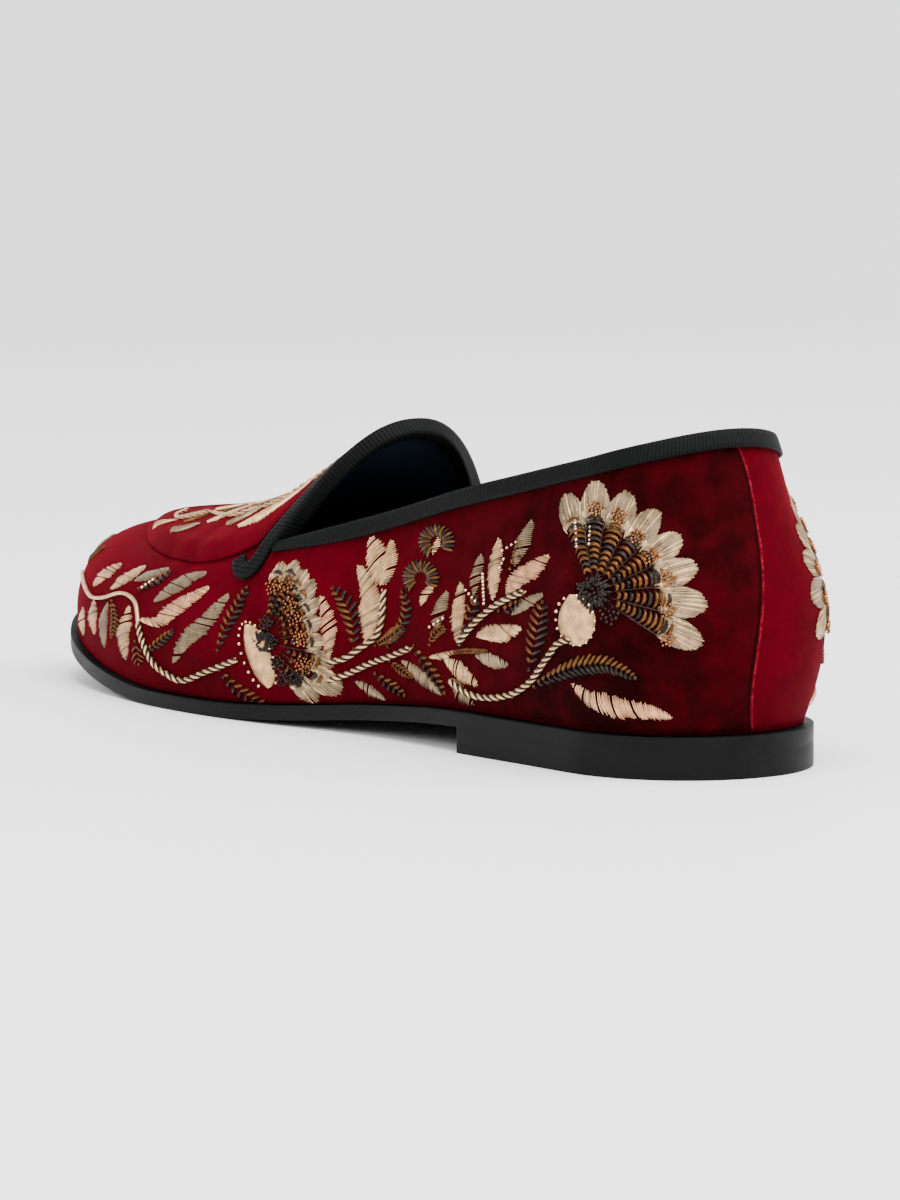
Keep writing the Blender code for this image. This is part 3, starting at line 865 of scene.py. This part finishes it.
def padded_oval(oval):
    """Oval of parallel threads over a pad."""
    way, reach = aim((0.0, 0.0), oval.long)
    across = crossways(way)
    count = int(reach * 2.0 / OVAL_PITCH)
    stitches = []
    for i in range(count):
        share = 2.0 * (i + 0.5) / count - 1.0
        width = oval.short * math.sqrt(max(1.0 - share * share, 0.0))
        place = oval.centre + way * reach * share
        half = across * width + way * OVAL_SLANT * width
        stitches.append(plain_stitch(place - half, place + half, pad=0.9))
    return stitches


def oval_beads(oval, start, end, step):
    """Places of beads round an oval, angles in degrees from its long axis."""
    way = np.array(oval.long)
    across = crossways(aim((0.0, 0.0), way)[0]) * oval.short
    turns = np.radians(np.arange(start, end, step))
    return [oval.centre + way * math.cos(turn) + across * math.sin(turn) for turn in turns]


def bead_line(start, end, count):
    """Places of beads on a line."""
    start = np.array(start)
    return [start + (np.array(end) - start) * i / (count - 1) for i in range(count)]


def bead_patch(patch):
    """Places of beads scattered over a patch."""
    radii = [patch.reach * math.sqrt((i + 0.5) / patch.count) for i in range(patch.count)]
    return [patch.centre + radius * towards(i * GOLDEN_ANGLE) for i, radius in enumerate(radii)]


def add_strand(curve, seats, stitch):
    """One tube of a curve along a stitch whose places on the skin are known."""
    places, normals = (np.array(part) for part in zip(*seats))
    middle = places + normals * (np.asarray(stitch.lift) * MILLIMETRE)[:, None]
    if stitch.wind:
        wind = stitch.wind * MILLIMETRE
        side = np.cross(normals, headings(places))
        middle += side * (np.cos(stitch.phase) * wind)[:, None]
        middle += normals * (np.sin(stitch.phase) * wind)[:, None]
    spline = curve.splines.new("POLY")
    spline.points.add(len(middle) - 1)
    spline.points.foreach_set("co", np.hstack((middle, np.ones((len(middle), 1)))).ravel())
    spline.points.foreach_set("radius", np.broadcast_to(stitch.radius, len(middle)).astype(float))
    spline.use_smooth = True


def new_strands(name, roundness):
    """An empty curve whose strands have their radius in millimetres."""
    curve = bpy.data.curves.new(name, "CURVE")
    curve.dimensions = "3D"
    curve.bevel_depth = MILLIMETRE
    curve.bevel_resolution = roundness
    curve.use_fill_caps = True
    return curve


def strands_piece(curve, name, finish):
    """The mesh of a curve's strands as a piece."""
    strands = bpy.data.objects.new(name + "_strands", curve)
    bpy.context.scene.collection.objects.link(strands)
    graph = bpy.context.evaluated_depsgraph_get()
    mesh = bpy.data.meshes.new_from_object(strands.evaluated_get(graph))
    bpy.data.objects.remove(strands)
    bpy.data.curves.remove(curve)
    return piece_of(mesh, name, finish)


def lay_stitches(skin, stitches, name, finish):
    """All stitches of one thread, on both sides of the shoe, as one piece."""
    curve = new_strands(name, 0)
    for stitch in stitches:
        seats = [skin.seat(place) for place in stitch.path]
        add_strand(curve, seats, stitch)
        add_strand(curve, [skin.mirrored(point) for point, normal in seats], stitch)
    strands_piece(curve, name, finish)


def lay_beads(skin, places, name, finish, radius, rise):
    """Round beads on both sides of the shoe, each a short strand that swells and closes."""
    curve = new_strands(name, 1)
    turn = np.linspace(0.08, math.pi - 0.08, 5)
    for place in places:
        seat = skin.seen(*place)
        size = radius * chance.uniform(0.85, 1.15)
        bead = Stitch(place, size * np.sin(turn), size * (0.9 - np.cos(turn)) + rise)
        add_strand(curve, [seat] * len(turn), bead)
        add_strand(curve, [skin.mirrored(seat[0])] * len(turn), bead)
    strands_piece(curve, name, finish)


def leaf_stitches(skin, threads):
    """The stitches of all leaves, added to their threads."""
    for leaf in SATIN_LEAVES:
        for stitch in satin_leaf(skin, leaf):
            threads["silver" if chance.random() < 0.1 else leaf.thread].append(stitch)
    for leaf in HERRING_LEAVES:
        left, right = feathered_leaf(skin, leaf, **HERRING)
        threads[leaf.thread] += left
        threads["dark"] += right
    for leaf in FEATHER_LEAVES:
        for row in feathered_leaf(skin, leaf, **FEATHER):
            threads[leaf.thread] += row
    for leaf in APRON_LEAVES:
        threads[leaf.thread] += lying_leaf(skin, leaf)


def cord_stitches(skin, threads):
    """The strands of all cords and of the apron's stems, with thin dark strands laid in the cords' hollows as
    painted shade.
    """
    for chart in APRON_STEMS:
        rough = skin.below(chart)
        threads["cord"] += twisted(curve_through(rough, int(length_of(rough) / CORD_STEP)), STEM_RADIUS)[0]
    for spine in TWISTED_CORDS:
        path = curve_through(spine, int(skin.path_length(spine) / CORD_STEP))
        strands, shade_strands = twisted(path, CORD_RADIUS)
        threads["cord"] += strands
        # dark thread in the cords' hollows: painted shade
        threads["dark"] += shade_strands
    threads["cord"].append(couched(skin, COUCHED_CORD))


def flower_stitches(threads):
    """The stitches of the fans, their padded ovals and the loops."""
    for fan in FANS:
        for petal in fan.petals:
            for stitch in fringe(fan, petal):
                threads["champagne" if chance.random() < 0.2 else "silver"].append(stitch)
            for stitch in bullion_row(fan, petal):
                threads["dark" if chance.random() < 0.3 else "bronze"].append(stitch)
            threads["dark"].append(petal_seam(fan, petal))
        threads["dark"] += hub_stitches(fan)
    for oval in (HEEL_DISC, TOE_OVAL):
        threads["champagne"] += padded_oval(oval)
    for loop in LOOPS:
        ring = loop_stitches(loop)
        threads["bronze"] += ring[::2]
        threads["dark"] += ring[1::2]


def embroider(skin):
    """All flowers, leaves, cords and beads."""
    pieces = (
        ("champagne", "champagne_threads", CHAMPAGNE),
        ("silver", "silver_threads", SILVER),
        ("rose", "rose_threads", ROSE),
        ("bronze", "bronze_bullion", BRONZE),
        ("dark", "dark_bullion", GUNMETAL),
        ("cord", "gold_cord", CORD),
    )
    threads = {thread: [] for thread, name, finish in pieces}
    leaf_stitches(skin, threads)
    cord_stitches(skin, threads)
    flower_stitches(threads)
    for thread, name, finish in pieces:
        lay_stitches(skin, threads[thread], name, finish)
    copper = [place for patch in COPPER_PATCHES for place in bead_patch(patch)]
    lay_beads(skin, copper, "copper_beads", COPPER, radius=0.38, rise=0.8)
    bright = oval_beads(HEEL_DISC, 0.0, 360.0, 20.0) + oval_beads(TOE_BEADS, 40.0, 330.0, 16.0)
    for start, end, count in BEAD_LINES:
        bright += bead_line(start, end, count)
    lay_beads(skin, bright, "bright_beads", GOLD, radius=0.46, rise=0.3)
    dark = [place for patch in DARK_PATCHES for place in bead_patch(patch)]
    lay_beads(skin, dark, "dark_beads", GUNMETAL, radius=0.44, rise=0.6)


# Charts of the seam, flowers and leaves, read off the photograph in its pixels
BACK_SEAM = ((596, 744), (611, 807), (619, 855), (615, 893), (613, 912), (607.5, 966))

HEEL_HUB = (480.0, 866.0)
HEEL_PETALS = (
    FanPetal((457.5, 784.0), 0.155, 32, 0.66),
    FanPetal((481.5, 773.0), 0.155, 32, 0.66),
    FanPetal((508.0, 782.0), 0.165, 34, 0.64),
    FanPetal((532.0, 797.5), 0.165, 34, 0.62),
    FanPetal((551.0, 819.0), 0.170, 34, 0.62),
    FanPetal((564.0, 844.0), 0.170, 34, 0.60),
    FanPetal((572.0, 875.5), 0.175, 34, 0.60),
    FanPetal((568.0, 908.0), 0.150, 32, 0.64),
)
HEEL_CLUSTERS = ((482, 797), (501, 803), (516, 820), (527, 837), (541, 855), (540, 880), (540, 903))
HEEL_DISC = Oval((465.5, 888.0), (4.0, 20.0), 15.5)

TOE_HUB = (208.0, 905.0)
TOE_PETALS = (
    FanPetal((224.0, 839.5), 0.12, 16, 0.78),
    FanPetal((236.0, 838.5), 0.12, 18, 0.78),
    FanPetal((244.0, 846.0), 0.13, 18, 0.74),
    FanPetal((250.5, 855.0), 0.15, 18, 0.72),
    FanPetal((254.0, 870.0), 0.17, 20, 0.72),
    FanPetal((256.0, 887.0), 0.19, 20, 0.72),
    FanPetal((258.5, 905.0), 0.21, 20, 0.72),
    FanPetal((265.0, 926.0), 0.20, 20, 0.72),
    FanPetal((272.5, 947.0), 0.17, 22, 0.66),
    FanPetal((252.0, 955.0), 0.16, 18, 0.62),
)
TOE_CLUSTERS = (
    (218, 861), (229, 859), (232, 875), (236, 886),
    (239, 901), (242, 903), (241, 923), (246, 925),
)
TOE_OVAL = Oval((204.5, 917.0), (9.5, 25.5), 9.5)
TOE_BEADS = Oval((204.5, 917.0), (10.5, 28.0), 12.0)

SATIN_LEAVES = (
    Leaf(((461.5, 940), (475, 952), (500, 959.5), (523, 962.5), (543, 967.5)), 8.0, "rose"),
    Leaf(((367.5, 905), (368, 883), (370, 857)), 5.5, "champagne"),
    Leaf(((397, 871), (398, 845), (401.5, 821)), 5.5, "champagne"),
    Leaf(((415, 843), (422, 822), (428.5, 806)), 5.5, "silver"),
    Leaf(((408, 866), (422, 851), (442, 834.5)), 7.5, "rose"),
    Leaf(((381.5, 867), (383, 850), (387, 834)), 4.5, "silver"),
    Leaf(((351, 895), (352.5, 880), (358.5, 864)), 5.5, "silver"),
    Leaf(((413, 883), (425, 873), (437, 866)), 4.5, "silver"),
    Leaf(((384, 901), (402, 898), (419, 893)), 7.5, "champagne"),
    Leaf(((383, 917), (396, 921), (409, 923.5)), 5.5, "silver"),
    Leaf(((357, 920), (370, 930), (384, 941)), 6.0, "champagne"),
    Leaf(((345, 918), (354, 917), (365, 913)), 2.6, "champagne"),
    Leaf(((307, 858), (302, 840), (296, 820)), 10.0, "champagne"),
    Leaf(((309, 858), (312, 842), (313, 822)), 6.0, "champagne"),
    Leaf(((294, 906), (296, 884), (294, 863), (286, 843)), 9.0, "champagne"),
    Leaf(((262, 918), (262, 900), (260, 884), (255, 868)), 6.5, "rose"),
    Leaf(((322, 921), (336.5, 933), (354, 948.5)), 4.5, "silver"),
    Leaf(((363, 936), (370, 948), (381, 957)), 5.0, "silver"),
    Leaf(((284, 938), (295, 945), (308, 953)), 3.6, "silver"),
    Leaf(((83, 862), (96.5, 852), (111, 843)), 3.4, "champagne"),
    Leaf(((69, 859), (80, 848), (91, 841)), 3.8, "rose"),
    Leaf(((103, 855), (116.5, 850), (130, 845)), 3.4, "silver"),
    Leaf(((119, 872), (133, 862), (147, 853), (161, 848)), 4.8, "silver"),
    Leaf(((106.5, 887), (122, 889), (133, 879), (147, 870), (163, 860)), 5.6, "rose"),
    Leaf(((134, 922), (143, 906), (160, 889), (179, 866)), 6.6, "silver"),
    Leaf(((97.5, 876), (93, 897), (95, 919)), 5.2, "champagne"),
    Leaf(((80, 873), (76.5, 888), (77.5, 909)), 3.2, "silver"),
    Leaf(((69, 871), (67.5, 883), (69.5, 898)), 3.2, "rose"),
    Leaf(((60, 877), (58.5, 887), (60.5, 899)), 2.4, "rose"),
    Leaf(((338, 875), (342, 865), (349, 857)), 3.2, "champagne"),
    Leaf(((348, 833), (350, 827), (352, 820)), 2.6, "champagne"),
)
HERRING_LEAVES = (
    Leaf(((427, 928), (430, 913), (434, 892), (438, 873)), 8.0),
    Leaf(((431, 942), (443, 935), (463, 927), (484, 924), (500, 928), (513, 935)), 7.5),
    Leaf(((283, 911), (281.5, 891), (276, 874), (266, 861)), 7.5),
    Leaf(((171, 912), (178.5, 891), (195, 861)), 5.0),
    Leaf(((172, 928), (189, 946), (215, 961)), 5.0),
    Leaf(((331.5, 909), (345, 928), (357, 947)), 4.0),
    Leaf(((300, 931), (311, 940), (324, 949)), 4.0),
    Leaf(((106.5, 862), (120, 855), (132, 848)), 2.8),
    Leaf(((112, 913), (123, 905), (134, 896)), 3.4),
    Leaf(((374, 893), (379, 881), (384, 869)), 5.0),
    Leaf(((402, 880), (410, 878), (420, 873)), 4.0),
    Leaf(((311, 909), (321, 894), (326, 878), (323, 864)), 4.6),
)
FEATHER_LEAVES = (
    Leaf(((300, 908), (311, 902), (323, 893)), 5.0),
    Leaf(((312, 921), (320, 927), (330, 934)), 3.6),
    Leaf(((103, 904), (104, 913), (106, 923)), 4.4),
    Leaf(((84, 871), (86, 886), (84, 901)), 2.8),
    Leaf(((411, 846), (417, 834), (420, 824)), 3.6),
    Leaf(((345, 908), (349, 900), (356, 893)), 3.8),
    Leaf(((362, 915), (372, 913), (392, 913)), 1.6),
)
# Leaves on the apron and toe, charted from above in millimetres, because the photograph sees them edge-on.
APRON_LEAVES = (
    Leaf(((35.5, -141), (31.5, -130), (27, -118.5)), 3.6, "champagne"),
    Leaf(((32, -152), (31, -146), (28.5, -140)), 2.6, "silver"),
    Leaf(((29.5, -166), (25, -162), (19.5, -159)), 3, "champagne"),
    Leaf(((31.5, -180), (31.5, -175), (30, -170)), 2.4, "silver"),
    Leaf(((26, -198), (26.5, -194), (25.5, -189.5)), 2.4, "rose"),
    Leaf(((21.5, -195.5), (19.5, -191), (16.5, -187)), 2.3, "silver"),
    Leaf(((23, -154), (21.5, -147), (18, -141)), 2.4, "silver"),
    Leaf(((27, -182), (24.5, -178.5), (21, -176)), 2),
    Leaf(((26, -146.5), (24, -138), (20, -131)), 2),
    Leaf(((23, -171.5), (19, -169.5), (15, -169.5)), 1.8),
    Leaf(((22.5, -130), (20, -123.5), (16, -117.5)), 2.5, "rose"),
    Leaf(((15.5, -184), (13.5, -178.5), (9.5, -174)), 2.6, "champagne"),
    Leaf(((15.5, -164), (12.5, -158), (8.5, -153.5)), 2.5, "rose"),
    Leaf(((28, -229), (30, -224), (30.5, -218)), 2.2),
    Leaf(((22, -236), (23.5, -231), (22.5, -225.5)), 2, "silver"),
)
APRON_STEMS = (
    (
        (13, -203), (20, -197.5), (23.5, -188), (21.5, -178),
        (24.5, -168.5), (27.5, -158), (26.5, -150),
    ),
    ((26.5, -150), (28.5, -141), (26.5, -132), (22.5, -124), (19, -115)),
)
TWISTED_CORDS = (
    (
        (362, 937), (376, 947), (393, 951), (413, 948), (428, 938),
        (437, 926), (446, 913), (452, 906), (462, 903),
    ),
    ((369, 907), (380, 893), (390, 883), (404, 873), (424, 864)),
    ((261.5, 921.5), (276, 918.5), (290, 909), (302, 900), (307, 886), (308.5, 862)),
    ((261.5, 937), (278.5, 931), (296, 923), (313, 917), (330, 910)),
    (
        (106, 889), (110, 905), (118, 921.5), (130, 931.5), (143, 936.5), (160, 930),
        (173, 925), (187, 919.5),
    ),
)
COUCHED_CORD = (
    (59.5, 836), (61, 855), (67, 867.5), (77, 869), (90, 865.5), (98, 867), (104, 874), (106, 889),
)

LOOPS = (Loop((350.5, 823.5), 228.0, -42.0), Loop((337.5, 853.0), 215.0, -40.0))
BEAD_LINES = (
    ((466, 806), (467, 828), 9),
    ((478, 812), (477, 826), 5),
    ((390, 850), (391, 874), 9),
    ((406, 831), (417, 824), 4),
    ((407, 838), (404, 845), 3),
    ((357, 886), (346, 893), 4),
    ((376, 863), (384, 872), 4),
    ((307, 867), (305, 882), 4),
    ((110, 861), (119, 855), 4),
)
TOE_DARK = ((212, 890), (216, 905), (221, 922), (226, 935), (236, 935))

FANS = (Fan(HEEL_HUB, HEEL_PETALS, 8.6, 0.20), Fan(TOE_HUB, TOE_PETALS, 5.2, 0.34))
COPPER_PATCHES = [Patch(place, 6.5, 16) for place in HEEL_CLUSTERS + TOE_CLUSTERS]
DARK_PATCHES = [Patch(HEEL_HUB, 12.5, 30), Patch((493.0, 884.0), 8.0, 14)]
DARK_PATCHES += [Patch(place, 6.0, 16) for place in TOE_DARK]


# Stage, with lengths in metres
FLOOR_HALF = 4.0
FLOOR_NEAR = 1.5
FLOOR_FAR = -1.6
SWEEP_RADIUS = 1.2
SWEEP_STEPS = 24
BACKDROP_TOP = 3.7
WORLD_LOW = 0.45
WORLD_HIGH = 1.5
WORLD_REACH = 0.8
CLIP_START = 0.05
CLIP_END = 30.0


def make_stage():
    """Pale floor that sweeps up into a backdrop, turned to the camera."""
    turns = [math.pi / 2.0 * step / SWEEP_STEPS for step in range(SWEEP_STEPS + 1)]
    profile = [(FLOOR_NEAR, 0.0)]
    for turn in turns:
        profile.append((FLOOR_FAR - SWEEP_RADIUS * math.sin(turn), SWEEP_RADIUS * (1.0 - math.cos(turn))))
    profile.append((profile[-1][0], BACKDROP_TOP))
    corners = [(x, y, z) for y, z in profile for x in (-FLOOR_HALF, FLOOR_HALF)]
    faces = [(i, i + 2, i + 3, i + 1) for i in range(0, len(corners) - 2, 2)]
    mesh = bpy.data.meshes.new("floor")
    mesh.from_pydata(corners, [], faces)
    mesh.transform(Matrix.Rotation(math.radians(CAMERA_TURN[2] - 180.0), 4, "Z"))
    mesh.shade_smooth()
    mesh.materials.append(Finish("pale_floor", Roughness=0.6, Base_Color=rgb(0.90, 0.90, 0.91)).material)
    floor = bpy.data.objects.new("floor", mesh)
    bpy.context.scene.collection.objects.link(floor)


def add_light(name, place, target, size, power):
    """Soft square light."""
    lamp = bpy.data.lights.new(name, "AREA")
    lamp.shape = "SQUARE"
    lamp.size = size
    lamp.energy = power
    light = bpy.data.objects.new(name, lamp)
    light.location = place
    light.rotation_mode = "QUATERNION"
    light.rotation_quaternion = (Vector(target) - Vector(place)).to_track_quat("-Z", "Y")
    bpy.context.scene.collection.objects.link(light)


def add_world():
    """Pale surround, brighter overhead than at the horizon."""
    world = bpy.data.worlds.new("surround")
    world.use_nodes = True
    tree = world.node_tree
    place = tree.nodes.new("ShaderNodeTexCoord")
    parts = tree.nodes.new("ShaderNodeSeparateXYZ")
    level = tree.nodes.new("ShaderNodeMapRange")
    tree.links.new(place.outputs["Generated"], parts.inputs[0])
    tree.links.new(parts.outputs["Z"], level.inputs["Value"])
    ends = {"From Min": 0.0, "From Max": WORLD_REACH, "To Min": WORLD_LOW, "To Max": WORLD_HIGH}
    for socket, value in ends.items():
        level.inputs[socket].default_value = value
    tree.links.new(level.outputs["Result"], tree.nodes["Background"].inputs["Strength"])
    tree.nodes["Background"].inputs["Color"].default_value = rgb(1.0, 1.0, 1.0)
    bpy.context.scene.world = world


def add_camera():
    """Camera at the photograph's place, turned to frame the one shoe."""
    data = bpy.data.cameras.new("camera")
    data.sensor_fit = "VERTICAL"
    data.sensor_height = SENSOR
    data.lens = PHOTO_FOCAL * VIEW_ZOOM * SENSOR / PHOTO_HEIGHT
    data.clip_start = CLIP_START
    data.clip_end = CLIP_END
    camera = bpy.data.objects.new("camera", data)
    camera.location = CAMERA_PLACE
    camera.rotation_mode = "QUATERNION"
    camera.rotation_quaternion = pixel_ray(*VIEW_CENTRE).to_track_quat("-Z", "Y")
    bpy.context.scene.collection.objects.link(camera)
    bpy.context.scene.camera = camera


bare = Skin((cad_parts["upper"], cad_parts["apron"]))
VELVET = velvet_finish(back_seam(bare))
LINING = lining_finish()
RIBBON = ribbon_finish()
SOLE = leather_finish("black_sole_leather", rgb(0.0026, 0.0026, 0.0028), rgb(0.0060, 0.0060, 0.0064), 1800.0)
# Metal threads and beads: each dark and bright pair is partly the metal's own colour and partly painted shade
# and painted glint
CHAMPAGNE = metal_finish("champagne_thread", rgb(0.300, 0.150, 0.060), rgb(0.920, 0.600, 0.330), 0.22, 0.85)
SILVER = metal_finish("silver_thread", rgb(0.100, 0.068, 0.038), rgb(0.400, 0.290, 0.175), 0.22, 0.85)
ROSE = metal_finish("rose_thread", rgb(0.340, 0.130, 0.060), rgb(0.940, 0.550, 0.310), 0.22, 0.85)
BRONZE = metal_finish("bronze_bullion", rgb(0.022, 0.008, 0.003), rgb(0.165, 0.066, 0.019), 0.24, 0.75)
GUNMETAL = metal_finish("gunmetal_bullion", rgb(0.0040, 0.0032, 0.0030), rgb(0.040, 0.030, 0.024), 0.22, 0.75)
GOLD = metal_finish("gold_bead", rgb(0.40, 0.20, 0.10), rgb(0.98, 0.72, 0.48), 0.10, 0.95)
COPPER = metal_finish("copper_bead", rgb(0.06, 0.018, 0.007), rgb(0.42, 0.170, 0.065), 0.12, 0.95)
CORD = metal_finish("gold_cord", rgb(0.36, 0.19, 0.08), rgb(0.88, 0.58, 0.32), 0.24, 0.8)
HEEL = leather_finish("black_heel_leather", rgb(0.0028, 0.0029, 0.0031), rgb(0.0064, 0.0064, 0.0068), 1500.0)

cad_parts["insole"].data.materials.clear()
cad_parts["insole"].data.materials.append(LINING)
make_leather("outsole", "sole_leather", SOLE)
make_leather("heel", "heel_leather", HEEL, HEEL_CLOSING)

velvet = make_velvet()
make_lining()
apron = smooth_piece(merged_copy("apron"), "apron_velvet", VELVET, ("apron",))
press_seams(velvet, apron)
thickened(velvet, VELVET_WALL)
make_ribbon("collar_binding", "collar_ribbon", along_collar)
make_ribbon("tongue_binding", "tongue_ribbon", along_tongue)

embroider(Skin((velvet, apron)))

make_stage()
add_world()
add_light("key", (0.2, 0.9, 2.2), (0.0, -0.1, 0.0), size=2.0, power=125.0)
add_light("side", (2.0, 0.1, 1.1), (0.0, -0.1, 0.04), size=1.0, power=24.0)
add_light("rim", (-1.5, 0.9, 1.3), (0.0, -0.05, 0.05), size=1.2, power=36.0)
add_camera()
